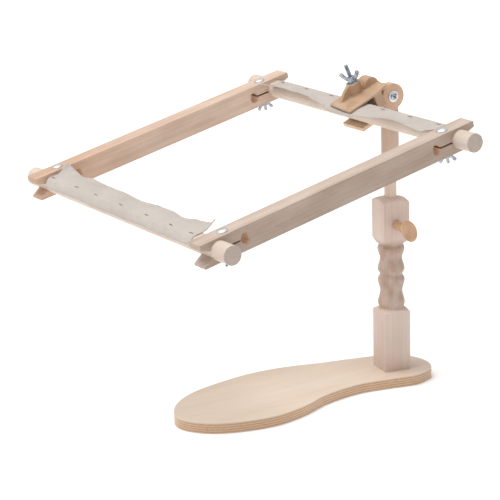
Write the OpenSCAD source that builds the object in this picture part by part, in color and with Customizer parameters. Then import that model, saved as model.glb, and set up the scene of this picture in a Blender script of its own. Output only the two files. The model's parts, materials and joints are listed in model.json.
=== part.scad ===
// Sit-on tapestry and embroidery frame: a two-roller scroll frame held by a
// tilting clamp on a rod that slides in a turned post on a plywood seat board.
// Millimetres. +X runs from the needleworker towards the post, +Z is up, and
// the origin is on the underside of the board, below the middle of the post.

/* [Seat board] */
// Thickness of the plywood board
board_t = 15; // [12:1:18]
// Radius of the rounded end under the post
board_end_r = 57; // [55:1:59]

/* [Post] */
// Side of the square blocks
post_side = 40; // [38:1:44]
// Turn of the post on the board, degrees
post_yaw = -10; // [-15:1:0]
// Height where the lower square block ends at its corners
lower_block_top = 103; // [95:1:105]
// Height where the upper square block starts at its corners
upper_block_bottom = 209; // [206:1:212]
// Height of the corners at the top of the post
post_top = 264; // [260:1:268]
// Radius of the turned beads
bead_r = 19.4; // [18.5:0.1:20]
// Radius of the turned coves
cove_r = 16; // [15:0.5:17]

/* [Rod and head] */
// Diameter of the sliding rod
rod_d = 17.5; // [16:0.5:18]
// Height of the rod's lower end inside the post
rod_bottom = 88; // [80:1:110]
// Height of the stem's lower end
stem_bottom = 300; // [295:1:310]
// Diameter of the stem
stem_d = 25; // [23:1:26]
// Diameter of the pivot disc
disc_d = 36.5; // [34:0.5:38]
// Height of the tilt pivot
pivot_z = 415; // [405:1:425]

/* [Scroll frame] */
// Tilt of the frame, front edge down, degrees
frame_tilt = 13.5; // [10:0.5:15]
// Length of a side arm
arm_l = 430; // [425:5:435]
// Width of a side arm
arm_w = 27; // [26:1:29]
// Depth of a side arm
arm_h = 32; // [31:1:34]
// Clear width between the two arms
window_w = 418; // [410:2:430]
// Diameter of the rollers
roller_d = 25.5; // [24:0.5:26]
// Distance from an arm's tip to the roller's centre
roller_in = 25; // [24:1:26]
// Length of roller that stands out beyond an arm
roller_out = 31; // [25:1:35]
// Distance from an arm's tip to the relief hole
relief_in = 64; // [62:1:68]
// Distance from an arm's tip to the clamping bolt
bolt_in = 42; // [41:1:44]

/* [Clamp] */
// Pitch of the clamp above the plane of the arms, degrees
clamp_pitch = 11; // [9:1:12]
// Thickness of the upper jaw's plate
plate_t = 3.6; // [3:0.1:4]
// Thickness of the lower jaw
lower_jaw_t = 6; // [5:0.5:7]

/* [Hidden] */
$fn = 64;

// Fits
running = 0.05;       // radial clearance of a turning or sliding fit
gap = 0.3;            // space between neighbours that move past each other
eps = 1;              // overrun of a cut

// Fasteners
corner_bolt_r = 2.5;
clamp_bolt_r = 3;
washer_t = 1.2;

// Board outline, counterclockwise from the post's end: two lobes for the
// thighs, and a waist. The rounded end is an arc, the rest is a smooth curve.
board_end_from = -42; // degrees, where the rounded end starts
board_end_to = 72;    // degrees, where it ends
board_curve = [
    [-30, 66], [-75, 77], [-125, 91], [-180, 96], [-240, 88], [-298, 70],
    [-341, 38], [-363, -5], [-350, -41], [-315, -66], [-255, -79],
    [-200, -69], [-145, -46], [-85, -36], [-35, -43], [8, -51]];

// Post: heights and radii where the turning is widest or narrowest
turning = [[106, 17.5], [114, bead_r], [131, cove_r], [148.5, bead_r], [156, cove_r + 0.2],
    [163.5, bead_r], [180, cove_r], [194.5, bead_r], [201, 17.5]];
corner_r = 30;        // clears the corners of the square blocks
post_dome = 5;        // rise of the domed top
rod_hole_bottom = 60;
pilot_d = 3;
pilot_depth = 9;

// Locking knob
knob_z = 232;
insert_r = 5;
insert_l = 9.5;
stud_r = 3;
stud_in = 11;         // how far the stud reaches into the post
neck_l = 38;          // from the post's face to the oval head's rim
stud_out = 22;        // how far the stud reaches into the knob
head_w = 22;          // the oval head's width, length and thickness
head_l = 33;
head_t = 5;
head_turn = 23;
dish_r = 38;          // ball that dishes the head's outer face
dish_deep = 1.8;

// Screws up into the post
screw_at = 10;
screw_r = 2;
screw_head_r = 4.4;
screw_l = 42;

// Head
disc_near = -9;       // near face of the disc
disc_far = 5;         // far face of the disc
disc_neck = 22;       // from the pivot down to the top of the stem
pivot_r = 3;
ear_t = 13.7;

// Frame coordinates: x from the front tips, z = 0 on top of the arms
pivot_back = 462.5;
pivot_drop = 14.7;
roller_r = roller_d / 2;
roller_drop = arm_h / 2;
back_roller_x = arm_l - roller_in;
arm_inner = window_w / 2;
arm_mid = arm_inner + arm_w / 2;
roller_half = arm_inner + arm_w + roller_out;
relief_r = 6.2;       // the relief hole is an upright slot with round ends
relief_rise = 1.8;
slit = 2.6;           // width of the slit from the roller's hole to the relief hole
flat_rise = roller_r - 2.25;  // height of the flat above the roller's axis

// Tape
tape_t = 1;
tape_half = 199;
tape_shift = 9;       // the front tape's middle is off towards the far arm
flat_half = arm_inner - 0.5;  // the planed flat ends just short of the arms
tape_from = 176;      // degrees round the roller where the tape starts
flap_in = 26;         // reach of the loose flap from the roller's axis
flap_sag = 2;
staple_crown = 10;
back_staple_at = [for (k = [-3:3]) 63 * k];
front_staple_at = [-177, -126, -63, 6, 75, 131, 199];

// Clamp coordinates: origin on the back roller's axis, x backwards, z up
clamp_y = 12;         // middle of the ear, boss and fin
clamp_bolt_x = 17.2;
jaw_gap = 0.6;
jaw_low = roller_r + tape_t + jaw_gap;
plate_top = jaw_low + plate_t;
boss_r = 10;
boss_top = 34.8;
nut_room_r = 8.4;     // clear round the washer and the wing nut
fin_t = 6;
fin_arc_r = 55.5;
fin_arc_at = [29.6, -16.4];
hump_r = 12;
hump_at = [38, 18];
hump_half = 10;
ear_r = 15.5;
block_low = -8;
block_front = 21.5;
block_back = 36;
lower_jaw_top = -roller_r - jaw_gap;
lower_jaw_front = -17;
lower_jaw_back = 26;
heel_drop = 2.6;      // from the block down to the lower jaw's heel
pivot_from_roller = [pivot_back - back_roller_x, roller_drop - pivot_drop];
pivot_in_clamp = [
    pivot_from_roller[0] * cos(clamp_pitch) + pivot_from_roller[1] * sin(clamp_pitch),
    pivot_from_roller[1] * cos(clamp_pitch) - pivot_from_roller[0] * sin(clamp_pitch)];

// ---------- helpers ----------

// A smooth closed curve through p: Catmull-Rom, n steps per span
function blend4(a, b, c, d, t) =
    0.5 * (2 * b + (c - a) * t + (2 * a - 5 * b + 4 * c - d) * t * t
        + (3 * b - a - 3 * c + d) * t * t * t);

// An open curve through the inner points of p
function curve(p, n) = [for (i = [1:len(p) - 3], k = [0:n - 1])
    blend4(p[i - 1], p[i], p[i + 1], p[i + 2], k / n)];

function arc(r, from, to, n, at = [0, 0]) =
    [for (k = [0:n]) let (a = from + (to - from) * k / n)
        at + r * [cos(a), sin(a)]];

// Height and radius between two extremes of a turned profile
function swing(a, b, n) = [for (k = [0:n - 1])
    [a[1] + (b[1] - a[1]) * (1 - cos(180 * k / n)) / 2, a[0] + (b[0] - a[0]) * k / n]];

function board_outline() =
    let (end = arc(board_end_r, board_end_from, board_end_to, 14))
    concat(end, curve(concat([end[13], end[14]], board_curve, [end[0], end[1]]), 5));

module in_post() { rotate([0, 0, post_yaw]) children(); }

// Into the frame's coordinates
module in_frame() {
    translate([0, 0, pivot_z]) rotate([0, -frame_tilt, 0])
        translate([-pivot_back, 0, pivot_drop]) children();
}

// Into the clamp's coordinates
module in_clamp() {
    in_frame() translate([back_roller_x, 0, -roller_drop])
        rotate([0, -clamp_pitch, 0]) children();
}

// A cylinder along Y, from y0 to y1
module along_y(r, y0, y1) {
    translate([0, y1, 0]) rotate([90, 0, 0]) cylinder(r = r, h = y1 - y0);
}

// An outline in x and z, as deep as y0 to y1
module deep_y(y0, y1) {
    translate([0, y1, 0]) rotate([90, 0, 0]) linear_extrude(y1 - y0) children();
}

// A round-headed bolt, its head's seat at z = 0 and its shank down -Z
module round_bolt(r, l, head_r, head_h) {
    ball_r = (head_r * head_r + head_h * head_h) / (2 * head_h);
    intersection() {
        translate([0, 0, head_h - ball_r]) sphere(r = ball_r);
        cylinder(r = head_r + eps, h = head_h + eps);
    }
    translate([0, 0, -l]) cylinder(r = r, h = l + 0.5);
}

module washer(bore_r, outer_r) {
    difference() {
        cylinder(r = outer_r, h = washer_t);
        translate([0, 0, -eps]) cylinder(r = bore_r, h = washer_t + 2 * eps);
    }
}

// A wing nut, its seat at z = 0, with its wings rising along +Z
module wing_nut(bore_r, body_r, body_h, span, rise) {
    tip_r = body_r * 0.55;
    difference() {
        union() {
            cylinder(r1 = body_r, r2 = body_r * 0.8, h = body_h);
            for (side = [0, 180]) rotate([0, 0, side]) deep_y(-1.1, 1.1) {
                polygon([[bore_r, 0.6], [body_r, 0.6], [span / 2, rise - tip_r * 1.5],
                    [span / 2 - tip_r * 1.9, rise - tip_r * 0.6], [bore_r, body_h - 0.6]]);
                translate([span / 2 - tip_r, rise - tip_r]) circle(r = tip_r);
            }
        }
        translate([0, 0, -eps]) cylinder(r = bore_r, h = rise + 2 * eps);
    }
}

// ---------- seat board and post ----------

module screw_places() { in_post() for (s = [-1, 1]) translate([s * screw_at, 0, 0]) children(); }

module screw_shape(extra) {
    cylinder(r1 = screw_head_r + extra, r2 = screw_r + extra, h = screw_head_r - screw_r);
    cylinder(r = screw_r + extra, h = screw_l + extra);
}

module base_board() {
    color("burlywood") difference() {
        linear_extrude(board_t) polygon(board_outline());
        screw_places() {
            screw_shape(running);
            translate([0, 0, -eps]) cylinder(r = screw_head_r + running, h = eps + 0.01);
        }
    }
}

// The whole turned outline: wide blocks, shoulders, beads and coves
module post_turning() {
    n = len(turning);
    shafts = [for (i = [0:n - 2]) each swing(turning[i], turning[i + 1], 8)];
    rotate_extrude() polygon(concat(
        [[0, board_t], [corner_r, board_t], [corner_r, lower_block_top - 2]],
        shafts,
        [[turning[n - 1][1], turning[n - 1][0]], [corner_r, upper_block_bottom + 1.5]],
        [[corner_r, post_top - 1], [24, post_top + 1.6], [18, post_top + 3.4],
            [12, post_top + 4.6], [0, post_top + post_dome]]));
}

module post() {
    color("navajowhite") in_post() difference() {
        intersection() {
            translate([-post_side / 2, -post_side / 2, board_t])
                cube([post_side, post_side, post_top + post_dome - board_t]);
            post_turning();
        }
        translate([0, 0, rod_hole_bottom])
            cylinder(r = rod_d / 2 + running, h = post_top + post_dome);
        translate([0, 0, knob_z]) {
            along_y(insert_r, -post_side / 2 - eps, -post_side / 2 + insert_l);
            along_y(stud_r + gap, -post_side / 2, 0);
        }
        translate([9, 11, post_top + post_dome - pilot_depth])
            cylinder(d = pilot_d, h = pilot_depth + eps);
        for (s = [-1, 1]) translate([s * screw_at, 0, 0])
            cylinder(r = screw_r + running, h = screw_l + running);
    }
}

module post_screws() { color("goldenrod") screw_places() screw_shape(0); }

module knob_insert() {
    color("gold") in_post() translate([0, 0, knob_z]) difference() {
        along_y(insert_r, -post_side / 2, -post_side / 2 + insert_l);
        along_y(stud_r + running, -post_side / 2 - eps, -post_side / 2 + insert_l + eps);
    }
}

// ---------- locking knob ----------

module at_knob() { in_post() translate([0, -post_side / 2, knob_z]) rotate([90, 0, 0]) children(); }

module locking_knob() {
    color("peru") at_knob() difference() {
        union() {
            translate([0, 0, gap]) rotate_extrude() polygon(concat(
                [[0, 0], [6.2, 0], [7, 1]],
                [for (k = [0:8]) [6.2 + 4 * pow(k / 8, 3), 4 + (neck_l - 4) * k / 8]],
                [[0, neck_l]]));
            translate([0, 0, neck_l - 0.5]) rotate([0, 0, head_turn])
                linear_extrude(head_t) polygon([for (a = [0:6:354])
                    [head_w / 2 * cos(a), head_l / 2 * sin(a)]]);
        }
        translate([0, 0, -eps]) cylinder(r = stud_r, h = stud_out + eps);
        translate([0, 0, neck_l - 0.5 + head_t - dish_deep + dish_r]) sphere(r = dish_r);
    }
}

module knob_stud() {
    color("silver") at_knob() translate([0, 0, -stud_in])
        cylinder(r = stud_r, h = stud_in + stud_out - 0.5);
}

// ---------- rod and head ----------

module rod() {
    color("wheat") translate([0, 0, rod_bottom])
        cylinder(d = rod_d, h = stem_bottom + 22 - rod_bottom);
}

module head_stem() {
    color("bisque") difference() {
        translate([0, 0, stem_bottom]) cylinder(d = stem_d, h = pivot_z - disc_neck - stem_bottom);
        translate([0, 0, stem_bottom - eps]) cylinder(r = rod_d / 2 + running, h = 24 + eps);
        translate([0, 0, pivot_z - disc_neck - 20]) cylinder(r = 5, h = 20 + eps);
    }
}

module head_disc() {
    color("peru") difference() {
        union() {
            translate([0, 0, pivot_z]) along_y(disc_d / 2, disc_near, disc_far);
            translate([-9, disc_near + 0.5, pivot_z - disc_neck])
                cube([18, disc_far - disc_near - 1, disc_neck / 2]);
            translate([0, 0, pivot_z - disc_neck - 18]) cylinder(r = 5 - 0.02, h = 20);
        }
        translate([0, 0, pivot_z]) along_y(pivot_r + running, disc_near - eps, disc_far + eps);
    }
}

module pivot_screw() {
    color("silver") translate([0, disc_near - washer_t, pivot_z]) rotate([90, 0, 0]) difference() {
        round_bolt(pivot_r, 46, 5.5, 3);
        for (a = [0, 90]) rotate([0, 0, a]) translate([-3, -0.6, 1]) cube([6, 1.2, 3]);
    }
}

module pivot_washers() {
    color("gainsboro") translate([0, 0, pivot_z]) {
        translate([0, disc_near, 0]) rotate([90, 0, 0]) washer(pivot_r + running, 8);
    }
}

// ---------- clamp ----------

// Plan of the upper jaw's plate, with its slanted front edge
plate_plan = [[-24, -25], [-20, 30], [9, 30], [block_front, 26], [block_back, 26], [block_back, 3],
    [49, 0], [49, -21], [block_front, -24], [9, -25]];

// Side of the fin: its crest rises in an arc from the plate's front to the boss
module fin_outline() {
    polygon(concat([[clamp_bolt_x, plate_top - 0.5], [-13, plate_top - 0.5]],
        arc(fin_arc_r, 142, 114, 8, fin_arc_at), [[clamp_bolt_x, boss_top - 0.5]]));
}

// Arm from the block back to the ear, below the hump's rear slope
module clamp_arm_outline() {
    polygon([[block_front + 1, block_low + 0.5], [block_front + 1, plate_top - 0.5],
        hump_at + [8, 6.5], pivot_in_clamp + [5, 13], pivot_in_clamp, pivot_in_clamp + [-10, -10]]);
}

module clamp_upper_jaw() {
    ear_y = disc_far + gap;
    color("peru") in_clamp() difference() {
        union() {
            translate([0, 0, jaw_low]) linear_extrude(plate_t) polygon(plate_plan);
            translate([clamp_bolt_x, clamp_y, jaw_low + 0.2])
                cylinder(r = boss_r, h = boss_top - jaw_low - 0.2);
            deep_y(clamp_y - fin_t / 2, clamp_y + fin_t / 2) fin_outline();
            translate([block_front, -21, block_low])
                cube([block_back - block_front, 46, plate_top - 0.2 - block_low]);
            translate([hump_at[0], 0, hump_at[1]])
                along_y(hump_r, clamp_y - hump_half, clamp_y + hump_half);
            deep_y(ear_y + 0.1, ear_y + ear_t - 0.1) clamp_arm_outline();
            translate([pivot_in_clamp[0], 0, pivot_in_clamp[1]]) along_y(ear_r, ear_y, ear_y + ear_t);
        }
        translate([clamp_bolt_x, clamp_y, -30]) cylinder(r = clamp_bolt_r + running, h = 80);
        translate([clamp_bolt_x, clamp_y, boss_top]) cylinder(r = nut_room_r, h = 30);
        translate([pivot_in_clamp[0], 0, pivot_in_clamp[1]]) along_y(pivot_r + running, -10, 40);
    }
}

module clamp_lower_jaw() {
    color("chocolate") in_clamp() difference() {
        union() {
            translate([lower_jaw_front, -27, lower_jaw_top - lower_jaw_t])
                cube([lower_jaw_back - lower_jaw_front, 49, lower_jaw_t]);
            translate([block_front + 0.5, -22, lower_jaw_top - 1])
                cube([lower_jaw_back - block_front - 0.5, 44, block_low - heel_drop - lower_jaw_top + 1]);
        }
        translate([clamp_bolt_x, clamp_y, -40]) cylinder(r = clamp_bolt_r + running, h = 80);
    }
}

module clamp_bolt() {
    color("silver") in_clamp() translate([clamp_bolt_x, clamp_y, lower_jaw_top - lower_jaw_t])
        mirror([0, 0, 1]) round_bolt(clamp_bolt_r, 62 - lower_jaw_top + lower_jaw_t, 7, 3.5);
}

module clamp_washer() {
    color("gainsboro") in_clamp() translate([clamp_bolt_x, clamp_y, boss_top])
        washer(clamp_bolt_r + running, 7.5);
}

module clamp_wing_nut() {
    color("silver") in_clamp() translate([clamp_bolt_x, clamp_y, boss_top + washer_t + 0.1])
        rotate([0, 0, -59]) wing_nut(clamp_bolt_r + running, 6, 7.5, 30, 17);
}

module pivot_wing_nut() {
    color("silver") translate([0, disc_far + gap + ear_t + gap, pivot_z]) rotate([-90, 0, 0])
        rotate([0, 0, 25]) wing_nut(pivot_r + running, 6, 7.5, 30, 15);
}

// ---------- side arms ----------

// The cuts at one tip: roller hole, relief hole, slit, mouth and bolt hole
module tip_cuts(y) {
    translate([roller_in, 0, -roller_drop]) along_y(roller_r + running, y - arm_w, y + arm_w);
    for (s = [-1, 1]) translate([relief_in, 0, -roller_drop + s * relief_rise])
        along_y(relief_r, y - arm_w, y + arm_w);
    translate([relief_in - relief_r, y - arm_w, -roller_drop - relief_rise])
        cube([2 * relief_r, 2 * arm_w, 2 * relief_rise]);
    translate([roller_in, y - arm_w, -roller_drop - slit / 2]) cube([relief_in - roller_in, 2 * arm_w, slit]);
    deep_y(y - arm_w, y + arm_w)
        polygon([[-eps, -7.2], [14, -12], [roller_in, -roller_drop], [14, -21], [-eps, -30]]);
    translate([bolt_in, y, -arm_h - eps]) cylinder(r = corner_bolt_r + 0.1, h = arm_h + 2 * eps);
}

module arm(y) {
    color("tan") in_frame() difference() {
        translate([0, y - arm_w / 2, -arm_h]) cube([arm_l, arm_w, arm_h]);
        tip_cuts(y);
        translate([arm_l, 0, 0]) mirror([1, 0, 0]) tip_cuts(y);
    }
}

module near_arm() { arm(-arm_mid); }
module far_arm() { arm(arm_mid); }

module corner_places() {
    in_frame() for (x = [bolt_in, arm_l - bolt_in], y = [-arm_mid, arm_mid])
        translate([x, y, 0]) children();
}

module corner_bolts() { color("silver") corner_places() round_bolt(corner_bolt_r, arm_h + 14, 7.6, 3.2); }

module corner_washers() {
    color("gainsboro") corner_places() translate([0, 0, -arm_h - washer_t])
        washer(corner_bolt_r + running, 5.5);
}

module corner_wing_nut(x, y, turn) {
    color("silver") in_frame() translate([x, y, -arm_h - washer_t - 0.1])
        mirror([0, 0, 1]) rotate([0, 0, turn])
            wing_nut(corner_bolt_r + running, 4.6, 5.5, 23, 12.5);
}

module wing_nut_near_front() { corner_wing_nut(bolt_in, -arm_mid, 35); }
module wing_nut_near_back() { corner_wing_nut(arm_l - bolt_in, -arm_mid, -40); }
module wing_nut_far_front() { corner_wing_nut(bolt_in, arm_mid, 80); }
module wing_nut_far_back() { corner_wing_nut(arm_l - bolt_in, arm_mid, -25); }

// ---------- rollers, tapes and staples ----------

// To a roller's axis; inwards is +X there
module at_roller(back) {
    in_frame() translate([back ? back_roller_x : roller_in, 0, -roller_drop])
        mirror([back ? 1 : 0, 0, 0]) children();
}

module roller(back) {
    color("wheat") at_roller(back) difference() {
        along_y(roller_r, -roller_half, roller_half);
        translate([-roller_r, -flat_half, flat_rise]) cube([2 * roller_r, 2 * flat_half, roller_r]);
    }
}

// A strip that starts round the outer side, lies on the flat and ends as a loose flap
module tape(back) {
    in_r = roller_r + running;
    flat_from = 180 - acos(sqrt(in_r * in_r - flat_rise * flat_rise) / in_r);
    middle = back ? 0 : tape_shift;
    color("ivory") at_roller(back) deep_y(middle - tape_half, middle + tape_half)
        polygon(concat(
            arc(in_r, tape_from, flat_from, 5),
            [[7, flat_rise + running], [flap_in, flat_rise - flap_sag]],
            [[flap_in, flat_rise - flap_sag + tape_t], [7, flat_rise + running + tape_t]],
            arc(in_r + tape_t, flat_from, tape_from, 5)));
}

module staple() {
    translate([-0.6, -staple_crown / 2, 0]) cube([1.2, staple_crown, 0.5]);
    for (s = [-1, 1]) translate([-0.4, s * (staple_crown / 2 - 0.5) - 0.4, -6]) cube([0.8, 0.8, 6.2]);
}

module staples(back, places) {
    color("dimgray") at_roller(back) for (y = places)
        translate([-2.5, y, flat_rise + running + tape_t]) staple();
}

module back_roller() { roller(true); }
module back_tape() { tape(true); }
module back_staples() { staples(true, back_staple_at); }
module front_roller() { roller(false); }
module front_tape() { tape(false); }
module front_staples() { staples(false, front_staple_at); }

base_board();
post();
post_screws();
knob_insert();
locking_knob();
knob_stud();
rod();
head_stem();
head_disc();
pivot_screw();
pivot_washers();
clamp_upper_jaw();
clamp_washer();
clamp_wing_nut();
pivot_wing_nut();
clamp_lower_jaw();
clamp_bolt();
back_roller();
back_tape();
back_staples();
near_arm();
far_arm();
corner_bolts();
corner_washers();
wing_nut_near_front();
wing_nut_near_back();
wing_nut_far_front();
wing_nut_far_back();
front_roller();
front_tape();
front_staples();
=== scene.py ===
"""Looks of a sit-on embroidery frame: plywood seat board, turned post, moulded clamp and scroll frame.

Metres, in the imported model's own frame: +X towards the post, the rollers along Y, +Z up.
"""

import json
import math

import bpy
from mathutils import Matrix, Vector, noise


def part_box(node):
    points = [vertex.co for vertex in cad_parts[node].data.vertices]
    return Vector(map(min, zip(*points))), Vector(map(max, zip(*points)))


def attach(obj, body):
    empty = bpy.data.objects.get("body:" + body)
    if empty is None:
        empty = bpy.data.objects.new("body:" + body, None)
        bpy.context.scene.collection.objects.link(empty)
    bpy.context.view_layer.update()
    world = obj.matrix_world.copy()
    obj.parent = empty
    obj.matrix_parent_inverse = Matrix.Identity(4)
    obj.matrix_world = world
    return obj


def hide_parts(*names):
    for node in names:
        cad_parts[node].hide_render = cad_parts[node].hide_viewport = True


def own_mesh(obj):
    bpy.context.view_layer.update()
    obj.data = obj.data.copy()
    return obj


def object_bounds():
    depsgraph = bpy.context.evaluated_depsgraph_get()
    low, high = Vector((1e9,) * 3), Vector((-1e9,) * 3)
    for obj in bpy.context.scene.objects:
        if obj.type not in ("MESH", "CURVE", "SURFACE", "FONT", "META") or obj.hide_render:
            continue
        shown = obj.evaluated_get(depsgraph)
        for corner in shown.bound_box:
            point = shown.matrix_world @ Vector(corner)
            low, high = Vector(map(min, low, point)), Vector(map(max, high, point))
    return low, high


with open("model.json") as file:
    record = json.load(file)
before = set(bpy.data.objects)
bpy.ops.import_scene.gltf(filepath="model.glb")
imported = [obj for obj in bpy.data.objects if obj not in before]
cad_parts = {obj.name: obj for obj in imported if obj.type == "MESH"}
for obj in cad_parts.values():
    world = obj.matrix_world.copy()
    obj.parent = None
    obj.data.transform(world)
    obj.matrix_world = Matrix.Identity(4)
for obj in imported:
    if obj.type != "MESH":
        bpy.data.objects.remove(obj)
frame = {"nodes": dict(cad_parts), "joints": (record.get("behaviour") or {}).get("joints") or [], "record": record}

MM = 0.001
CAD_LOW, CAD_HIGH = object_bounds()
JOINTS = {joint["name"]: joint for joint in frame["joints"]}
BODY_OF = {node: body for body, nodes in frame["record"]["behaviour"]["bodies"].items() for node in nodes}
CORNERS = ("near_front", "near_back", "far_front", "far_back")

# The scroll frame's own axes: from the front roller to the back one, along the rollers, and up
BACK_AXIS = Vector(JOINTS["arm_swing"]["pos_m"])
FRONT_AXIS = Vector(JOINTS["front_roller_turn"]["pos_m"])
ALONG = (BACK_AXIS - FRONT_AXIS).normalized()
ACROSS = Vector((0, 1, 0))
UP = ALONG.cross(ACROSS)

# Camera: degrees, metres, and a lens in millimetres
CAMERA_AZIMUTH = -31.59
CAMERA_ELEVATION = 15.21
CAMERA_ROLL = -1.53
CAMERA_DISTANCE = 3.037
CAMERA_TARGET = Vector((-0.1926, 0.0711, 0.2069))
CAMERA_LENS = 155.2
SENSOR_WIDE = 36

# Light and floor. The sky's strength rises from SKY_LOW at HORIZON to SKY_HIGH at ZENITH
HORIZON = 0.05
ZENITH = 0.95
SKY_LOW = 0.30
SKY_HIGH = 0.95
SKY_TINT = (1, 0.99, 0.98, 1)
SUN_POWER = 2.0
SUN_SPREAD = math.radians(32)
SUN_TINT = (1, 0.985, 0.965)
SUN_FROM = Vector((-0.30, 0.12, 0.95))
FLOOR_HALF = 30
FLOOR_GAP = 0.2 * MM
FLOOR_GLOW = 0.1

# Seat board: one ply, and the veneer on each face
PLY = 1.67 * MM
VENEER = 0.9 * MM

# Finish of the CAD nodes: what counts as flat, as an edge to round, and as an edge to shade sharp
FLAT_ANGLE = math.radians(0.5)
EDGE_ANGLE = math.radians(30)
SHARP_ANGLE = math.radians(33)

# Turned middle of the post: the heights between which its darker tone and painted shade come in, and go out again
TURNED_LOW = (103 * MM, 110 * MM)
TURNED_HIGH = (203 * MM, 210 * MM)

# Side arms. Slits and mouths start this far along an arm from its middle. The bores' painted light and shade fade
# out this far above and below the line between the rollers' axes, and this far sideways from the arm's middle
SLIT_FROM = (157 * MM, 158 * MM)
MOUTH_FROM = (177 * MM, 179 * MM)
BORE_REACH = (12 * MM, 13 * MM)
BORE_DEPTH = (11.6 * MM, 13.2 * MM)

# The far arm's brown tint fades out this far past the front roller's axis
BROWN_FRONT = (50 * MM, 170 * MM)

# Rollers: the places along Y between which the near end's tint, and its end face's, come in
NEAR_END_FROM = (-240 * MM, -228 * MM)
END_FACE = (-266.8 * MM, -265.5 * MM)

# Bolts and the pivot screw
CLAMP_BOLT = {"radius": 3 * MM, "head_radius": 7 * MM, "head_height": 3.5 * MM,
              "thread": 34 * MM, "pitch": 1.25 * MM}
CORNER_BOLT = {"radius": 2.5 * MM, "head_radius": 7.6 * MM, "head_height": 3.2 * MM,
               "thread": 16 * MM, "pitch": 1.0 * MM}
HEAD_EDGE = 0.4 * MM
SHANK_SHARE = 0.93
THREAD_SHARE = 0.95
THREAD_DEPTH = 0.55
PIVOT_R = 3 * MM
PIVOT_HEAD_R = 5.5 * MM
PIVOT_HEAD = 3 * MM
PIVOT_HEAD_EDGE = 1.0 * MM
PIVOT_THREAD = 18.5 * MM
PIVOT_THREAD_R = 2.9 * MM
PIVOT_PITCH = 1 * MM
RECESS_HALF = 3.5 * MM
RECESS_WIDE = 1.1 * MM
RECESS_DEEP = 2.1 * MM
RECESS_TURN = math.radians(22)

# Webbing tapes
CLOTH_WIDE = 50 * MM
CLOTH_THICK = 0.9 * MM
CLOTH_OFF = 0.6 * CLOTH_THICK
ROLLER_R = 12.75 * MM
FLAT_RISE = 10.5 * MM
PUFF_OVER = 7 * MM
PUFF_BETWEEN = 13 * MM
FLAP_BEND = 9 * MM
WRINKLES_FROM = 22 * MM
WRINKLES_OVER = 20 * MM
WRINKLE_RISE = 0.7 * MM
FRAY = 0.4 * MM

# Where the cloth starts round the roller, and how far that wanders, in degrees
CLOTH_START = 178
START_SWAY = 7

# Lift of the loose flap's edge above level, in degrees, at places along the roller in millimetres
FRONT_LIFT = ((-190, 30), (-183, 17), (-174, 1), (-161, -6), (-139, -11), (-104, -25), (-76, -17), (-41, -18),
              (13, -24), (67, -15), (109, -17), (140, -10), (172, -20), (190, -3), (200, 16), (208, 38))
BACK_LIFT = ((-199, 16), (-194, 11), (-186, 11), (-170, 13), (-155, 18), (-143, 25), (-124, 26), (-102, 20),
             (-85, 14), (-69, 7), (-39, -3), (-27, -13), (0, -15), (24, -15), (34, -8), (45, 9), (58, 20),
             (79, 28), (103, 32), (143, 34), (170, 33), (190, 28), (199, 24))

# Staples
STAPLE_HALF = 5 * MM
STAPLE_LEG = 5.5 * MM
STAPLE_BEND = 0.9 * MM
STAPLE_BACK = 2.5 * MM
STAPLE_RISE = FLAT_RISE + 1.35 * CLOTH_THICK
STAPLE_SKEW = 0.6 * MM
STAPLE_GAP = 15 * MM
WIRE_WIDE = 0.6 * MM
WIRE_THICK = 0.3 * MM
WIRE_BOW = 0.12 * MM


# ---------- camera, light and floor ----------

def axes_matrix(x, y, z, at):
    """The matrix whose axes are x, y and z, and whose origin is at."""
    matrix = Matrix((x, y, z)).transposed().to_4x4()
    matrix.translation = at
    return matrix


def make_camera():
    azimuth, elevation, roll = (math.radians(a) for a in (CAMERA_AZIMUTH, CAMERA_ELEVATION, CAMERA_ROLL))
    back = Vector((math.sin(azimuth) * math.cos(elevation), -math.cos(azimuth) * math.cos(elevation),
                   math.sin(elevation)))
    level = Vector((math.cos(azimuth), math.sin(azimuth), 0))
    right = Matrix.Rotation(roll, 3, back) @ level
    camera = bpy.data.objects.new("camera", bpy.data.cameras.new("camera"))
    camera.data.sensor_width = SENSOR_WIDE
    camera.data.lens = CAMERA_LENS
    camera.data.clip_end = 100
    camera.matrix_world = axes_matrix(right, back.cross(right), back, CAMERA_TARGET + back * CAMERA_DISTANCE)
    bpy.context.scene.collection.objects.link(camera)
    bpy.context.scene.camera = camera


def make_light():
    """A broad soft sun above the needleworker's side, and a sky that darkens towards its horizon."""
    world = bpy.data.worlds.new("studio")
    world.use_nodes = True
    nodes, links = world.node_tree.nodes, world.node_tree.links
    direction = nodes.new("ShaderNodeTexCoord")
    height = nodes.new("ShaderNodeSeparateXYZ")
    strength = nodes.new("ShaderNodeMapRange")
    strength.inputs["From Min"].default_value = HORIZON
    strength.inputs["From Max"].default_value = ZENITH
    strength.inputs["To Min"].default_value = SKY_LOW
    strength.inputs["To Max"].default_value = SKY_HIGH
    nodes["Background"].inputs["Color"].default_value = SKY_TINT
    links.new(direction.outputs["Generated"], height.inputs[0])
    links.new(height.outputs["Z"], strength.inputs["Value"])
    links.new(strength.outputs[0], nodes["Background"].inputs["Strength"])
    bpy.context.scene.world = world
    sun = bpy.data.lights.new("key", "SUN")
    sun.energy = SUN_POWER
    sun.angle = SUN_SPREAD
    sun.color = SUN_TINT
    lamp = bpy.data.objects.new("key", sun)
    lamp.rotation_euler = (-SUN_FROM).to_track_quat("-Z", "Y").to_euler()
    bpy.context.scene.collection.objects.link(lamp)
    bpy.context.scene.view_settings.view_transform = "Standard"


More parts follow.
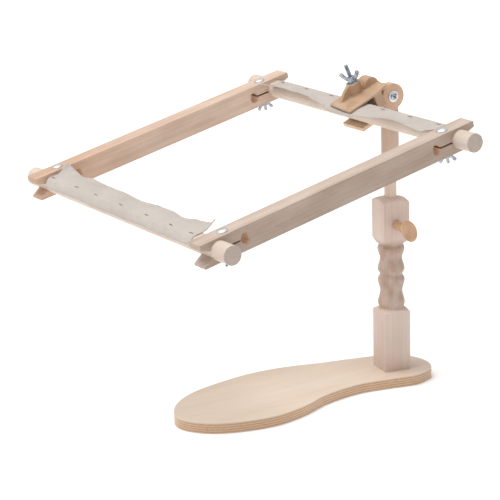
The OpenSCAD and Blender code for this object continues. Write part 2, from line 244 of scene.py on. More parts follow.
def make_floor():
    """A plain white floor, far wider than the camera sees."""
    signs = ((-1, -1), (1, -1), (1, 1), (-1, 1))
    corners = [(x * FLOOR_HALF, y * FLOOR_HALF, 0) for x, y in signs]
    mesh = bpy.data.meshes.new("floor")
    mesh.from_pydata(corners, [], [(0, 1, 2, 3)])
    floor = bpy.data.objects.new("floor", mesh)
    floor.location.z = CAD_LOW.z - FLOOR_GAP
    bpy.context.scene.collection.objects.link(floor)
    paint = Shader("floor_white", {"Base Color": tone(247, 247, 247), "Roughness": 0.95,
                                   "Emission Color": (1, 1, 1, 1), "Emission Strength": FLOOR_GLOW})
    mesh.materials.append(paint.material)


# ---------- materials ----------

def tone(red, green, blue):
    """A colour given as 0 to 255 on a screen, as Blender's linear colour."""
    return (*(((c / 255 + 0.055) / 1.055) ** 2.4 for c in (red, green, blue)), 1)


END_GRAIN = tone(176, 150, 134)


class Shader:
    """A material with one Principled shader, and short calls for the nodes that feed it."""

    def __init__(self, name, sockets):
        self.material = bpy.data.materials.new(name)
        self.material.use_nodes = True
        self.tree = self.material.node_tree
        self.surface = self.tree.nodes["Principled BSDF"]
        for socket, value in sockets.items():
            self.feed(self.surface, socket, value)

    def feed(self, node, socket, value):
        if isinstance(value, bpy.types.NodeSocket):
            self.tree.links.new(value, node.inputs[socket])
        else:
            node.inputs[socket].default_value = value

    def node(self, kind, inputs, output=0, **settings):
        """A new node with these inputs and settings; gives one of its outputs."""
        node = self.tree.nodes.new("ShaderNode" + kind)
        for name, value in settings.items():
            setattr(node, name, value)
        for socket, value in inputs.items():
            self.feed(node, socket, value)
        return node.outputs[output]

    def stretched(self, vector, scale):
        return self.node("VectorMath", {0: vector, 1: scale}, operation="MULTIPLY")

    def noise(self, vector, scale, detail, output="Fac"):
        """Noise whose grains are 1 / scale metres long on each axis."""
        inputs = {"Vector": self.stretched(vector, scale), "Scale": 1.0, "Detail": detail}
        return self.node("TexNoise", inputs, output)

    def maths(self, operation, a, b=0.0):
        return self.node("Math", {0: a, 1: b}, operation=operation)

    def between(self, value, low, high, to_low=0.0, to_high=1.0):
        """The value as it goes from low to high, turned into to_low to to_high and held there outside."""
        inputs = {"Value": value, "From Min": low, "From Max": high, "To Min": to_low, "To Max": to_high}
        return self.node("MapRange", inputs)

    def mixed(self, share, a, b, blend="MIX"):
        """Colour a, turned into colour b by share."""
        node = self.tree.nodes.new("ShaderNodeMix")
        node.data_type, node.blend_type = "RGBA", blend
        for socket, value in (("Factor_Float", share), ("A_Color", a), ("B_Color", b)):
            target = next(s for s in node.inputs if s.identifier == socket)
            if isinstance(value, bpy.types.NodeSocket):
                self.tree.links.new(value, target)
            else:
                target.default_value = value
        return next(s for s in node.outputs if s.identifier == "Result_Color")

    def bump(self, height, distance, strength=1.0):
        """Tilts the surface by a height, where 1 is this distance in metres."""
        normal = self.node("Bump", {"Height": height, "Distance": distance, "Strength": strength})
        self.feed(self.surface, "Normal", normal)

    def place(self):
        """Where a point is on its piece, in metres, in the row frame at rest."""
        return self.node("TexCoord", {}, "Object")

    def past_front(self, direction):
        """How far a point is from the front roller's axis in this direction."""
        off_axis = self.node("VectorMath", {0: self.place(), 1: tuple(FRONT_AXIS)}, operation="SUBTRACT")
        return self.node("VectorMath", {0: off_axis, 1: tuple(direction)}, "Value", operation="DOT_PRODUCT")


def wood(name, light, dark, grain, heart, ring, contrast, shade=None, end_tint=1.0):
    """Sawn or turned wood. grain is the way the fibres run, heart the log's middle, ring the rings' width,
    and contrast how much of the dark colour shows.

    shade, if given, takes the shader and its colour so far, and gives the colour with its own tint.
    end_tint is how much of the end grain's darker colour shows.
    """
    s = Shader(name, {"Specular IOR Level": 0.3})
    turn = Vector((1, 0, 0)).rotation_difference(grain).to_euler()
    log = s.node("Mapping", {"Vector": s.place(), "Location": heart, "Rotation": turn}, vector_type="TEXTURE")
    wander = s.noise(log, (7, 38, 38), 2, "Color")
    sway = s.stretched(wander, (0, 7 * MM, 7 * MM))
    off_heart = s.node("VectorMath", {0: s.stretched(log, (0, 1, 1)), 1: sway}, operation="ADD")
    distance = s.node("VectorMath", {0: off_heart}, "Value", operation="LENGTH")
    turns = s.maths("DIVIDE", distance, ring)
    rings = s.node("TexNoise", {"W": turns, "Scale": 1.0, "Detail": 1.5}, noise_dimensions="1D")
    fibres = s.noise(log, (26, 1100, 1100), 3)
    streaks = s.noise(log, (7, 210, 210), 2)
    clouds = s.noise(log, (13, 34, 34), 2)
    blush = s.noise(log, (24, 70, 70), 2)
    pores = s.between(s.noise(log, (230, 3200, 3200), 1), 0.60, 0.72)
    share = s.between(rings, 0.32, 0.7, 0, 0.26 * contrast)
    share = s.maths("ADD", share, s.between(fibres, 0.3, 0.7, 0, 0.12 * contrast))
    share = s.maths("ADD", share, s.between(streaks, 0.3, 0.7, 0, 0.16 * contrast))
    share = s.maths("ADD", share, s.between(clouds, 0.35, 0.68, -0.05, 0.4 * contrast))
    share = s.maths("ADD", share, s.between(blush, 0.4, 0.7, 0, 0.2 * contrast))
    colour = s.mixed(share, light, dark)
    colour = s.mixed(s.maths("MULTIPLY", pores, 0.22), colour, dark, "MULTIPLY")
    normal = s.node("TexCoord", {}, "Normal")
    facing = s.node("VectorMath", {0: normal, 1: tuple(grain)}, "Value", operation="DOT_PRODUCT")
    end = s.between(s.maths("ABSOLUTE", facing), 0.6, 0.9, 0, end_tint)
    cut = s.mixed(s.between(s.noise(log, (600, 600, 600), 2), 0.3, 0.7), light, dark)
    colour = s.mixed(end, colour, s.mixed(0.16, cut, END_GRAIN, "MULTIPLY"))
    if shade:
        colour = shade(s, colour)
    s.feed(s.surface, "Base Color", colour)
    s.feed(s.surface, "Roughness", s.between(fibres, 0.3, 0.7, 0.44, 0.58))
    s.bump(s.maths("SUBTRACT", fibres, s.maths("MULTIPLY", pores, 0.8)), 0.09 * MM, 0.6)
    return s.material


def plywood(name, thickness):
    """Lacquered birch plywood: veneer on its faces, and on its edge the plies, pale and deep in turn."""
    s = Shader(name, {"Coat Weight": 0.5, "Coat Roughness": 0.14, "Specular IOR Level": 0.4,
                      "Roughness": 0.42})
    place = s.place()
    height = s.node("SeparateXYZ", {0: place}, "Z")
    layer = s.maths("DIVIDE", height, PLY)
    ripple = s.maths("MULTIPLY", s.noise(place, (30, 30, 200), 1), 0.25)
    odd = s.maths("PINGPONG", s.maths("FLOOR", s.maths("ADD", layer, ripple)), 1.0)
    middle = s.maths("ABSOLUTE", s.maths("SUBTRACT", height, thickness / 2))
    face = s.maths("GREATER_THAN", middle, thickness / 2 - VENEER)
    veneer = s.noise(place, (5, 34, 34), 3)
    lines = s.noise(place, (14, 330, 330), 2)
    flecks = s.between(s.noise(place, (260, 2600, 900), 1), 0.6, 0.75)
    share = s.maths("ADD", s.between(veneer, 0.35, 0.65, 0, 0.45), s.between(lines, 0.3, 0.7, 0, 0.3))
    skin = s.mixed(share, tone(220, 203, 187), tone(206, 182, 160))
    skin = s.mixed(s.maths("MULTIPLY", flecks, 0.22), skin, tone(190, 156, 126))
    speckle = s.noise(place, (700, 700, 300), 2)
    pale = s.mixed(s.between(speckle, 0.3, 0.7), tone(214, 184, 154), tone(202, 168, 136))
    deep = s.mixed(s.between(speckle, 0.3, 0.7), tone(194, 158, 124), tone(176, 138, 106))
    edge = s.mixed(odd, pale, deep)
    joint = s.maths("LESS_THAN", s.maths("FRACT", s.maths("ADD", layer, ripple)), 0.08)
    edge = s.mixed(s.maths("MULTIPLY", joint, 0.3), edge, tone(128, 92, 64))
    s.feed(s.surface, "Base Color", s.mixed(face, edge, skin))
    s.bump(s.maths("ADD", lines, s.maths("MULTIPLY", odd, 0.3)), 0.04 * MM, 0.5)
    return s.material


def moulding(name, light, dark):
    """Satin moulded plastic, coloured like wood, with a faint swirl and a fine spark-eroded grain."""
    s = Shader(name, {"Specular IOR Level": 0.5, "Coat Weight": 0.12, "Coat Roughness": 0.3})
    place = s.place()
    swirl = s.noise(place, (55, 55, 24), 3)
    grain = s.noise(place, (2100, 2100, 2100), 1)
    s.feed(s.surface, "Base Color", s.mixed(s.between(swirl, 0.35, 0.68), light, dark))
    s.feed(s.surface, "Roughness", s.between(swirl, 0.3, 0.7, 0.36, 0.48))
    s.bump(grain, 0.03 * MM, 0.5)
    return s.material


def metal(name, bright, dull, roughness):
    """Plated or bright metal with clouded plating and fine handling marks."""
    s = Shader(name, {"Metallic": 1.0})
    place = s.place()
    cloud = s.noise(place, (190, 190, 190), 3)
    marks = s.noise(place, (900, 270, 1800), 2)
    s.feed(s.surface, "Base Color", s.mixed(s.between(cloud, 0.35, 0.66), bright, dull))
    s.feed(s.surface, "Roughness", s.between(marks, 0.3, 0.7, roughness - 0.08, roughness + 0.1))
    s.bump(marks, 0.02 * MM, 0.35)
    return s.material


def webbing(name, light, dark, yarn):
    """Plain woven cotton tape. The cloth's own coordinates are metres across and along it."""
    s = Shader(name, {"Sheen Weight": 0.35, "Sheen Roughness": 0.5, "Specular IOR Level": 0.15,
                      "Roughness": 0.92})
    cloth = s.node("UVMap", {}, uv_map="cloth")
    split = s.tree.nodes.new("ShaderNodeSeparateXYZ")
    s.feed(split, 0, cloth)
    turns = math.pi / yarn
    over = [s.maths("SINE", s.maths("MULTIPLY", split.outputs[axis], turns)) for axis in ("X", "Y")]
    weave = s.maths("MULTIPLY", over[0], over[1])
    slub = s.noise(cloth, (1500, 90, 1), 2)
    weft = s.noise(cloth, (70, 1300, 1), 2)
    soiling = s.noise(s.place(), (24, 24, 24), 3)
    colour = s.mixed(s.between(soiling, 0.35, 0.7, 0, 0.55), light, dark)
    threads = s.maths("MULTIPLY", s.between(s.maths("ADD", slub, weft), 0.85, 1.25), 0.3)
    colour = s.mixed(threads, colour, tone(162, 152, 142))
    # The weave's gaps are painted darker: painted shade between the threads
    gap_shade = s.maths("MULTIPLY", s.between(weave, -0.2, 0.9, 1, 0), 0.14)
    s.feed(s.surface, "Base Color", s.mixed(gap_shade, colour, tone(120, 110, 100)))
    s.bump(s.maths("ADD", s.maths("MULTIPLY", weave, 0.5), s.maths("ADD", slub, weft)), 0.14 * MM, 0.8)
    return s.material


# ---------- mesh helpers ----------

def add_piece(name, mesh, material, body, replaced=()):
    """A new piece of the object, which rides on a body and stands for the CAD nodes in replaced."""
    piece = bpy.data.objects.new(name, mesh)
    bpy.context.scene.collection.objects.link(piece)
    mesh.materials.clear()
    mesh.materials.append(material)
    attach(piece, body)
    if replaced:
        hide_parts(*replaced)
    return piece


def mesh_of(name, points, faces):
    mesh = bpy.data.meshes.new(name)
    mesh.from_pydata([tuple(p) for p in points], [], faces)
    mesh.shade_smooth()
    return mesh


def joined(parts):
    """Several (points, faces) as one."""
    points, faces = [], []
    for more_points, more_faces in parts:
        faces += [tuple(i + len(points) for i in face) for face in more_faces]
        points += more_points
    return points, faces


def skin(rings, close_ends=True):
    """Points and faces of a tube through rings of as many points each, with its ends closed if asked."""
    count = len(rings[0])
    points = [Vector(p) for ring in rings for p in ring]
    faces = []
    for start in range(0, (len(rings) - 1) * count, count):
        for j in range(count):
            after = (j + 1) % count
            faces.append((start + j, start + after, start + count + after, start + count + j))
    if close_ends:
        for ring, turn in ((0, -1), (len(rings) - 1, 1)):
            points.append(sum((Vector(p) for p in rings[ring]), Vector()) / count)
            for j in range(count):
                pair = (ring * count + j, ring * count + (j + 1) % count)[::turn]
                faces.append((*pair, len(points) - 1))
    return points, faces


def circle(radius, height, steps):
    """Points of a level circle about Z."""
    return [(radius * math.cos(2 * math.pi * j / steps), radius * math.sin(2 * math.pi * j / steps), height)
            for j in range(steps)]


def turned(profile, steps=48, close_ends=True):
    """A solid of revolution about Z, from (radius, height) pairs going up."""
    return skin([circle(radius, height, steps) for radius, height in profile], close_ends)


def screw_thread(radius, length, pitch, depth, steps=24, rings_per_turn=8):
    """A threaded rod up Z from 0, with a chamfered tip."""
    rings = []
    count = round(length / pitch * rings_per_turn)
    for i in range(count + 1):
        height = length * i / count
        ring = []
        for j in range(steps):
            share = (height / pitch - j / steps) % 1
            cut = depth * abs(2 * share - 1) * min(1, (length - height) / pitch)
            tip = max(0, 1 - (length - height) / (0.8 * pitch)) * depth
            angle = 2 * math.pi * j / steps
            out = radius - cut - tip
            ring.append((out * math.cos(angle), out * math.sin(angle), height))
        rings.append(ring)
    return skin(rings)


def dome(radius, height, edge, steps=40, rings=10):
    """A mushroom head: a rounded cap of this height above an upright edge, with its seat at 0."""
    profile = [(radius, 0), (radius, edge)]
    for k in range(1, rings):
        angle = math.pi / 2 * k / rings
        profile.append((radius * math.cos(angle), edge + (height - edge) * math.sin(angle)))
    return turned([*profile, (0.02 * radius, height)], steps)


def moved(part, matrix):
    points, faces = part
    return [matrix @ p for p in points], faces


def upright(axis, at):
    """The matrix that stands a part made up Z along this axis, at this place."""
    axis = Vector(axis).normalized()
    side = axis.orthogonal().normalized()
    return axes_matrix(side, axis.cross(side), axis, at)


def node_points(node):
    return [v.co.copy() for v in frame["nodes"][node].data.vertices]


def softened(mesh, voxel, passes, factor=0.5):
    """The mesh made anew from voxels of this size, with its edges and inside corners rounded."""
    helper = bpy.data.objects.new("helper", mesh)
    bpy.context.scene.collection.objects.link(helper)
    remesh = helper.modifiers.new("remesh", "REMESH")
    remesh.mode, remesh.voxel_size, remesh.use_smooth_shade = "VOXEL", voxel, True
    smooth = helper.modifiers.new("smooth", "SMOOTH")
    smooth.iterations, smooth.factor = passes, factor
    result = bpy.data.meshes.new_from_object(helper.evaluated_get(bpy.context.evaluated_depsgraph_get()))
    bpy.data.objects.remove(helper)
    result.shade_smooth()
    return result


def softened_node(node, material, voxel, passes):
    """A CAD node as a moulding: the same shape with rounded edges."""
    mesh = softened(frame["nodes"][node].data.copy(), voxel, passes)
    add_piece(node + "_moulded", mesh, material, BODY_OF[node], (node,))


def shading_nodes():
    """A node group that shades a mesh smooth, apart from its sharp edges."""
    group = bpy.data.node_groups.new("shade_by_angle", "GeometryNodeTree")
    for in_out in ("INPUT", "OUTPUT"):
        group.interface.new_socket("Geometry", in_out=in_out, socket_type="NodeSocketGeometry")
    first, last, normal, angle, sharp = (group.nodes.new(kind) for kind in (
        "NodeGroupInput", "NodeGroupOutput", "GeometryNodeSetMeshNormal", "GeometryNodeInputMeshEdgeAngle",
        "FunctionNodeCompare"))
    normal.mode = "SHARPNESS"
    sharp.operation = "GREATER_THAN"
    sharp.inputs["B"].default_value = SHARP_ANGLE
    group.links.new(angle.outputs["Unsigned Angle"], sharp.inputs["A"])
    group.links.new(sharp.outputs[0], normal.inputs["Edge Sharpness"])
    group.links.new(first.outputs[0], normal.inputs["Mesh"])
    group.links.new(normal.outputs["Mesh"], last.inputs[0])
    return group


SHADING = shading_nodes()


def finished_node(node, material, rounding=0.0, steps=3):
    """A CAD node as it is, with its edges rounded by this radius and this material."""
    piece = frame["nodes"][node]
    piece.data.materials[0] = material
    piece.modifiers.new("weld", "WELD").merge_threshold = 0.001 * MM
    if rounding:
        flat = piece.modifiers.new("flat faces", "DECIMATE")
        flat.decimate_type, flat.angle_limit = "DISSOLVE", FLAT_ANGLE
        edge = piece.modifiers.new("rounding", "BEVEL")
        edge.width, edge.segments = rounding, steps
        edge.limit_method, edge.angle_limit = "ANGLE", EDGE_ANGLE
        edge.use_clamp_overlap = True
    piece.modifiers.new("shading", "NODES").node_group = SHADING


# ---------- seat board, post, rod and head ----------

def make_board():
    low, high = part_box("base_board")
    finished_node("base_board", plywood("plywood", high.z - low.z), rounding=2.4 * MM, steps=4)


def turned_wood_and_shade(s, colour):
    """The post's turned middle is darker than its blocks, as darker wood and painted shade, with warm blotches."""
    height = s.node("SeparateXYZ", {0: s.place()}, "Z")
    turned_part = s.maths("MULTIPLY", s.between(height, *TURNED_LOW), s.between(height, *TURNED_HIGH, 1, 0))
    colour = s.mixed(s.maths("MULTIPLY", turned_part, 0.9), colour, tone(222, 217, 214), "MULTIPLY")
    blotch = s.between(s.noise(s.place(), (62, 62, 40), 3), 0.46, 0.62, 0, 0.6)
    return s.mixed(s.maths("MULTIPLY", turned_part, blotch), colour, tone(232, 216, 192), "MULTIPLY")


def make_post():
    upwards = Vector((0, 0, 1))
    beech = wood("beech", tone(222, 204, 194), tone(196, 171, 157), upwards, heart=(0.09, -0.05, 0),
                 ring=3.2 * MM, contrast=0.6, shade=turned_wood_and_shade, end_tint=0.1)
    finished_node("post", beech, rounding=0.6 * MM)
    # The rod's colours are painted lighter than the stem's: painted light that lifts the shade it stands in
    for node, light, dark in (("rod", tone(230, 211, 196), tone(208, 182, 164)),
                              ("head_stem", tone(206, 183, 165), tone(182, 154, 135))):
        dowel = wood(node + "_beech", light, dark, upwards, heart=(0.04, 0.03, 0), ring=2.6 * MM,
                     contrast=0.7)
        finished_node(node, dowel, rounding=0.9 * MM)


def make_knob():
    tan = moulding("knob_moulding", tone(208, 169, 136), tone(189, 148, 116))
    softened_node("locking_knob", tan, voxel=0.7 * MM, passes=14)


def make_disc():
    # The disc's tan is painted lighter than the upper jaw's: painted light for its lit face
    tan = moulding("disc_moulding_painted_light", tone(208, 172, 143), tone(188, 151, 122))
    softened_node("head_disc", tan, voxel=0.6 * MM, passes=8)


# ---------- clamp ----------

def make_clamp():
    upper = moulding("upper_jaw_moulding", tone(192, 161, 133), tone(174, 140, 112))
    # The lower jaw's tan is painted lighter than the upper jaw's: painted light that lifts the shade beneath the
    # clamp
    lower = moulding("lower_jaw_moulding_painted_light", tone(222, 189, 158), tone(204, 169, 138))
    softened_node("clamp_upper_jaw", upper, voxel=0.75 * MM, passes=12)
    softened_node("clamp_lower_jaw", lower, voxel=0.75 * MM, passes=8)


# ---------- zinc hardware ----------

def wing_nut_mesh(bore, body, height, span, rise):
    """A pressed wing nut with its seat at 0: a tapered hub, and two ears that lean outwards along X."""
    hub = turned([(bore, 0), (body, 0), (body, 0.25 * height), (0.84 * body, 0.9 * height),
                  (0.76 * body, height), (bore, height), (bore, 0)], close_ends=False)
    parts = [hub]
    start = Vector((0.7 * body, 0, 0.36 * height))
    bend = Vector((0.34 * span, 0, 0.42 * rise))
    end = Vector((0.5 * span - 0.3 * body, 0, rise - 0.36 * body))
    steps, sides = 12, 20
    for side in (-1, 1):
        rings = []
        for i in range(steps + 1):
            t = i / steps
            middle = start * (1 - t) ** 2 + bend * 2 * t * (1 - t) + end * t * t
            onward = ((bend - start) * (1 - t) + (end - bend) * t).normalized()
            over = Vector((onward.z, 0, -onward.x))
            rounded = math.sqrt(max(0.05, 1 - max(0, (t - 0.86) / 0.14) ** 3))
            wide, thick = body * (0.42 + 0.12 * t) * rounded, body * 0.26 * (0.65 + 0.35 * rounded)
            ring = []
            for j in range(sides):
                angle = 2 * math.pi * j / sides
                across, deep = math.cos(angle), math.sin(angle)
                p = middle + over * wide * math.copysign(abs(across) ** 0.7, across)
                ring.append((side * p.x, side * thick * math.copysign(abs(deep) ** 0.7, deep), p.z))
            rings.append(ring)
        parts.append(skin(rings))
    return softened(mesh_of("wing_nut", *joined(parts)), body / 18, 4, 0.45)


def make_wing_nut(node, joint, zinc):
    """A wing nut in place of a CAD one, on its joint's axis, with its ears where the CAD ears are."""
    axis, at = Vector(JOINTS[joint]["axis"]).normalized(), Vector(JOINTS[joint]["pos_m"])
    points = [p - at for p in node_points(node)]
    heights = [p.dot(axis) for p in points]
    flat = [p - axis * h for p, h in zip(points, heights)]
    bore, half_span = min(p.length for p in flat), max(p.length for p in flat)
    outward = max(flat, key=lambda p: p.length).normalized()
    seat, rise = min(heights), max(heights) - min(heights)
    near_seat = [p.length for p, h in zip(flat, heights) if h < seat + 0.2 * MM]
    mesh = wing_nut_mesh(bore, max(near_seat), 0.45 * rise, 2 * half_span, rise)
    mesh.transform(axes_matrix(outward, axis.cross(outward), axis, at + axis * seat))
    add_piece(node + "_pressed", mesh, zinc, BODY_OF[node], (node,))


def threaded_bolt(axis, tip, length, radius, head_radius, head_height, thread, pitch):
    """A mushroom-headed bolt whose thread ends at tip; axis points from the head to the tip.

    The shank runs a little way into the head and into the thread.
    """
    start = tip - axis * length
    shank_r = radius * SHANK_SHARE
    shank = turned([(shank_r, -0.3 * MM), (shank_r, length - thread + 0.2 * MM)], steps=32)
    screw = screw_thread(radius * THREAD_SHARE, thread, pitch, pitch * THREAD_DEPTH)
    head = dome(head_radius, head_height, HEAD_EDGE)
    return [moved(shank, upright(axis, start)), moved(screw, upright(axis, tip - axis * thread)),
            moved(head, upright(-axis, start))]


def make_bolts(zinc, steel):
    """The clamp's bolt, and the four bolts through the arms, each where its CAD solid is."""
    axis = Vector(JOINTS["clamp_nut_turn"]["axis"]).normalized()
    at = Vector(JOINTS["clamp_nut_turn"]["pos_m"])
    heights = [(p - at).dot(axis) for p in node_points("clamp_bolt")]
    length = max(heights) - min(heights) - CLAMP_BOLT["head_height"]
    parts = threaded_bolt(axis, at + axis * max(heights), length, **CLAMP_BOLT)
    bolt = mesh_of("clamp_bolt", *joined(parts))
    add_piece("clamp_bolt_threaded", bolt, zinc, BODY_OF["clamp_bolt"], ("clamp_bolt",))
    parts = []
    points = node_points("corner_bolts")
    for corner in CORNERS:
        joint = JOINTS[f"nut_{corner}_turn"]
        axis, at = Vector(joint["axis"]).normalized(), Vector(joint["pos_m"])
        near = CORNER_BOLT["head_radius"] * 1.5
        mine = [(p - at).dot(axis) for p in points if (p - at).cross(axis).length < near]
        length = max(mine) - min(mine) - CORNER_BOLT["head_height"]
        parts += threaded_bolt(axis, at + axis * max(mine), length, **CORNER_BOLT)
    bolts = mesh_of("corner_bolts", *joined(parts))
    add_piece("corner_bolts_threaded", bolts, steel, BODY_OF["corner_bolts"], ("corner_bolts",))


def cross_recess(half, wide, deep):
    """A closed cross-shaped plug up Z from 0, narrower below, which cuts a screw's recess."""
    rings = []
    for z, share in ((-deep, 0.45), (0, 1.0), (deep, 1.2)):
        w, h = wide * share, half * share
        arm = [(h, -w), (h, w), (w, w)]
        corners = [*arm, *((-y, x) for x, y in arm), *((-x, -y) for x, y in arm), *((y, -x) for x, y in arm)]
        rings.append([(x, y, z) for x, y in corners])
    return skin(rings)


def cut_out(mesh, tool):
    """The mesh with the tool mesh taken away from it."""
    pieces = [bpy.data.objects.new(m.name, m) for m in (mesh, tool)]
    for piece in pieces:
        bpy.context.scene.collection.objects.link(piece)
    cut = pieces[0].modifiers.new("cut", "BOOLEAN")
    cut.operation, cut.object, cut.solver = "DIFFERENCE", pieces[1], "EXACT"
    result = bpy.data.meshes.new_from_object(pieces[0].evaluated_get(bpy.context.evaluated_depsgraph_get()))
    for piece in pieces:
        bpy.data.objects.remove(piece)
    result.shade_smooth()
    return result


def make_pivot_screw(steel):
    """The pan-headed screw that the clamp tilts on, with its cross recess."""
    points = node_points("pivot_screw")
    at = Vector(JOINTS["frame_tilt"]["pos_m"])
    low, high = min(p.y for p in points), max(p.y for p in points)
    seat = low + PIVOT_HEAD
    pan = dome(PIVOT_HEAD_R, PIVOT_HEAD, PIVOT_HEAD_EDGE)
    turn = Matrix.Translation((0, 0, PIVOT_HEAD)) @ Matrix.Rotation(RECESS_TURN, 4, "Z")
    recess = moved(cross_recess(RECESS_HALF, RECESS_WIDE, RECESS_DEEP), turn)
    shank = turned([(PIVOT_R, -0.4 * MM), (PIVOT_R, high - seat - PIVOT_THREAD + 0.5 * MM)], steps=32)
    thread = screw_thread(PIVOT_THREAD_R, PIVOT_THREAD, PIVOT_PITCH, PIVOT_PITCH * THREAD_DEPTH)
    screw_head = cut_out(mesh_of("pan", *pan), mesh_of("recess", *recess))
    in_recess = [math.hypot(*face.center.xy) < RECESS_HALF + 0.4 * MM
                 and 0.2 * MM < face.center.z < PIVOT_HEAD - 0.7 * MM for face in screw_head.polygons]
    screw_head.transform(upright((0, -1, 0), (at.x, seat, at.z)))
    shank = moved(shank, upright((0, 1, 0), (at.x, seat, at.z)))
    thread = moved(thread, upright((0, 1, 0), (at.x, high - PIVOT_THREAD, at.z)))
    body = mesh_of("shank", *joined([shank, thread]))
    piece = add_piece("pivot_screw_head", screw_head, steel, BODY_OF["pivot_screw"], ("pivot_screw",))
    # The recess faces get a dark metal: painted shade in the cross
    piece.data.materials.append(metal("screw_recess_painted_shade", tone(66, 70, 78), tone(44, 47, 54), roughness=0.4))
    for face, dark in zip(piece.data.polygons, in_recess):
        face.material_index = int(dark)
    add_piece("pivot_screw_shank", body, steel, BODY_OF["pivot_screw"])


def make_hardware():
    zinc = metal("zinc", tone(180, 188, 197), tone(134, 145, 158), roughness=0.3)
    steel = metal("bright_steel", tone(236, 237, 238), tone(206, 209, 212), roughness=0.42)
    brass = metal("yellow_metal", tone(214, 182, 104), tone(178, 142, 74), roughness=0.34)
    for node in ("clamp_washer", "corner_washers", "knob_stud"):
        finished_node(node, zinc, rounding=0.25 * MM, steps=2)
    finished_node("pivot_washers", steel, rounding=0.5 * MM)
    make_pivot_screw(metal("screw_steel", tone(214, 217, 222), tone(170, 175, 183), roughness=0.26))
    for node in ("post_screws", "knob_insert"):
        finished_node(node, brass)
    make_wing_nut("clamp_wing_nut", "clamp_nut_turn", zinc)
    make_wing_nut("pivot_wing_nut", "pivot_nut_turn", zinc)
    for corner in CORNERS:
        make_wing_nut(f"wing_nut_{corner}", f"nut_{corner}_turn", zinc)
    make_bolts(zinc, steel)


# ---------- side arms and rollers ----------

def bore_painted_light(s, colour, node):
    """The relief holes' walls are painted warmer than the planed faces, as painted light; the sawn slits' browner,
    as painted shade.
    """
    low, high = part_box(node)
    sideways = s.maths("SUBTRACT", s.node("SeparateXYZ", {0: s.place()}, "Y"), (low.y + high.y) / 2)
    middle = (BACK_AXIS - FRONT_AXIS).length / 2
    off_middle = s.maths("ABSOLUTE", s.maths("SUBTRACT", s.past_front(ALONG), middle))
    core = s.between(s.maths("ABSOLUTE", s.past_front(UP)), *BORE_REACH, 1, 0)
    deep = s.between(s.maths("ABSOLUTE", sideways), *BORE_DEPTH, 1, 0)
    clear_of_tips = s.between(off_middle, *MOUTH_FROM, 1, 0)
    bored = s.maths("MULTIPLY", s.maths("MULTIPLY", core, deep), clear_of_tips)
    wall_painted_light = s.mixed(s.between(off_middle, *SLIT_FROM), tone(238, 209, 187), tone(176, 138, 114))
    return s.mixed(s.maths("MULTIPLY", bored, 0.9), colour, wall_painted_light)


def near_arm_painted_shade(s, colour):
    """The near arm's outer face, facing -Y, is painted darker and greyer than its top: painted shade."""
    side = s.node("VectorMath", {0: s.node("TexCoord", {}, "Normal"), 1: (0, -1, 0)}, "Value",
                  operation="DOT_PRODUCT")
    # Painted shade on the faces that turn towards -Y
    colour = s.mixed(s.between(side, 0.3, 0.8), colour, tone(232, 229, 227), "MULTIPLY")
    return bore_painted_light(s, colour, "near_arm")


def far_shade(s, colour):
    """The far arm is browner towards its front end."""
    brown = s.between(s.past_front(ALONG), *BROWN_FRONT, 1, 0)
    colour = s.mixed(brown, colour, tone(247, 238, 229), "MULTIPLY")
    return bore_painted_light(s, colour, "far_arm")


def make_arms():
    for node, heart, light, dark, shade in (
            ("near_arm", (0, -0.30, 0.25), tone(206, 190, 178), tone(176, 155, 138), near_arm_painted_shade),
            ("far_arm", (0, 0.30, 0.28), tone(220, 197, 180), tone(192, 163, 143), far_shade)):
        birch = wood(node + "_birch", light, dark, ALONG, heart, ring=4.5 * MM, contrast=0.9, shade=shade)
        finished_node(node, birch, rounding=0.8 * MM)


def near_end_tint(s, colour):
    """The rollers' near ends are greyer, and their near end faces greyer still."""
    along = s.node("SeparateXYZ", {0: s.place()}, "Y")
    colour = s.mixed(s.between(along, *NEAR_END_FROM, 1, 0), colour, tone(250, 251, 252), "MULTIPLY")
    return s.mixed(s.between(along, *END_FACE, 1, 0), colour, tone(233, 236, 240), "MULTIPLY")


def make_rollers():
    for node, heart in (("front_roller", (-0.40, 0, 0.27)), ("back_roller", (-0.02, 0, 0.42))):
        dowel = wood(node + "_birch", tone(222, 208, 195), tone(200, 179, 162), ACROSS, heart,
                     ring=2.8 * MM, contrast=0.8, shade=near_end_tint)
        finished_node(node, dowel, rounding=1.0 * MM)


# ---------- webbing tapes and staples ----------

def between_stations(stations, at):
    """The value at a place, eased from one listed station to the next."""
    for (low, low_value), (high, high_value) in zip(stations, stations[1:]):
        if at <= high:
            share = min(1, max(0, (at - low) / (high - low)))
            share = share * share * (3 - 2 * share)
            return low_value + (high_value - low_value) * share
    return stations[-1][1]


def cloth_point(s, start, lift, rise):
    """Inward and upward place of the cloth at s across it: round the roller, over its flat, then a bent flap.

    start is where the cloth begins round the roller, in radians from the inward direction.
    """
    radius = ROLLER_R + CLOTH_OFF
    level = FLAT_RISE + CLOTH_OFF
    half_flat = math.sqrt(radius * radius - level * level)
    flat_from = math.pi - math.acos(half_flat / radius)
    wrapped = radius * (start - flat_from)
    if s < wrapped:
        angle = start - s / radius
        return radius * math.cos(angle), radius * math.sin(angle)
    s -= wrapped
    raised = level + rise * math.sin(math.pi / 2 * min(1, s / PUFF_OVER))
    if s < 2 * half_flat:
        return s - half_flat, raised
    s -= 2 * half_flat
    reach, climb, steps = 0.0, 0.0, 12
    for k in range(steps):
        angle = lift * min(1, (k + 0.5) / steps * s / FLAP_BEND)
        reach += math.cos(angle) * s / steps
        climb += math.sin(angle) * s / steps
    return half_flat + reach, raised + climb


def cloth_rise(y, staples):
    """Height of the cloth over the flat: pressed down at the staples, and puffed up between them."""
    nearest = min(abs(y - place) for place in staples)
    puff = 1 - math.exp(-(nearest / PUFF_BETWEEN) ** 2)
    return puff * (0.55 + 0.75 * noise.noise(Vector((y * 31, 3.3, 0.7)))) * MM


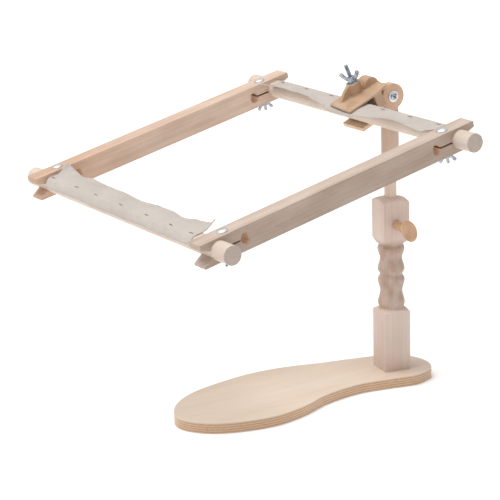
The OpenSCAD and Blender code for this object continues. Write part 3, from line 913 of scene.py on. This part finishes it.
def make_tape(node, axis, inward, lifts, seed, cloth):
    """A strip of webbing stapled along a roller's flat, as wavy and lifted as its stations say."""
    staples = staple_places(node.replace("tape", "staples"))
    low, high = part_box(node)
    columns, rows = 26, 190
    points, places = [], []
    for i in range(rows + 1):
        y = low.y + (high.y - low.y) * i / rows
        lift = math.radians(between_stations(lifts, y / MM))
        rise = max(0.0, cloth_rise(y, staples))
        start = math.radians(CLOTH_START + START_SWAY * noise.noise(Vector((y * 22, seed, 1.5))))
        for j in range(columns + 1):
            s = CLOTH_WIDE * j / columns
            reach, height = cloth_point(s, start, lift, rise)
            loose = min(1, max(0, s - WRINKLES_FROM) / WRINKLES_OVER)
            wrinkle = noise.noise(Vector((y * 75, s * 45, seed))) * loose * WRINKLE_RISE
            fray = FRAY * noise.noise(Vector((s * 300, seed, y))) if i in (0, rows) else 0
            points.append(axis + inward * reach + UP * (height + wrinkle) + ACROSS * (y + fray))
            places.append((s, y))
    wide = columns + 1
    faces = [(first, first + 1, first + wide + 1, first + wide)
             for i in range(rows) for first in range(i * wide, i * wide + columns)]
    if inward.cross(UP).dot(ACROSS) > 0:
        faces = [face[::-1] for face in faces]
    mesh = mesh_of(node, points, faces)
    layer = mesh.uv_layers.new(name="cloth")
    for loop in mesh.loops:
        layer.data[loop.index].uv = places[loop.vertex_index]
    piece = add_piece(node + "_cloth", mesh, cloth, BODY_OF[node], (node,))
    thick = piece.modifiers.new("thickness", "SOLIDIFY")
    thick.thickness, thick.offset, thick.use_even_offset = CLOTH_THICK, 0, False
    return piece


def staple_places(node):
    """Where a roller's staples are along it, from their CAD solids."""
    places = []
    for y in sorted(p.y for p in node_points(node)):
        if not places or y > places[-1][-1] + STAPLE_GAP:
            places.append([y])
        places[-1].append(y)
    return [(min(group) + max(group)) / 2 for group in places]


def make_staples(node, axis, inward, wire):
    """Flattened wire staples: a crown along the roller, rounded corners, and legs into the wood."""
    path = [Vector((-STAPLE_HALF, 0, -STAPLE_LEG)), Vector((-STAPLE_HALF, 0, -STAPLE_BEND))]
    steps, sides = 6, 12
    for k in range(1, steps):
        turn = math.pi / 2 * k / steps
        path.append(Vector((-STAPLE_HALF + STAPLE_BEND * (1 - math.cos(turn)), 0,
                            -STAPLE_BEND * (1 - math.sin(turn)))))
    path += [Vector((-STAPLE_HALF + STAPLE_BEND, 0, 0)), Vector((-STAPLE_HALF * 0.3, 0, WIRE_BOW))]
    path += [Vector((-p.x, 0, p.z)) for p in reversed(path)]
    section = circle(1, 0, sides)
    parts = []
    for place in staple_places(node):
        skew = STAPLE_SKEW * math.sin(place * 190)
        rings = []
        for i, p in enumerate(path):
            onward = (path[min(i + 1, len(path) - 1)] - path[max(i - 1, 0)]).normalized()
            side = Vector((0, 1, 0))
            out = onward.cross(side)
            ring = [p + side * WIRE_WIDE * x + out * WIRE_THICK * y for x, y, level in section]
            rings.append([axis + inward * (q.y - STAPLE_BACK + skew * q.x / STAPLE_HALF)
                          + UP * (STAPLE_RISE + q.z) + ACROSS * (place + q.x) for q in ring])
        parts.append(skin(rings))
    mesh = mesh_of(node, *joined(parts))
    add_piece(node + "_wire", mesh, wire, BODY_OF[node], (node,))


def make_webbing():
    cloth = webbing("webbing", tone(203, 195, 188), tone(184, 174, 166), yarn=0.55 * MM)
    wire = metal("staple_wire", tone(150, 150, 152), tone(104, 104, 108), roughness=0.36)
    make_tape("front_tape", FRONT_AXIS, ALONG, FRONT_LIFT, seed=4.2, cloth=cloth)
    make_staples("front_staples", FRONT_AXIS, ALONG, wire)
    back_tape = make_tape("back_tape", BACK_AXIS, -ALONG, BACK_LIFT, seed=9.6, cloth=cloth)
    make_staples("back_staples", BACK_AXIS, -ALONG, wire)
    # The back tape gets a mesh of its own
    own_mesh(back_tape)


make_camera()
make_light()
make_floor()
make_board()
make_post()
make_knob()
make_disc()
make_clamp()
make_hardware()
make_arms()
make_rollers()
make_webbing()
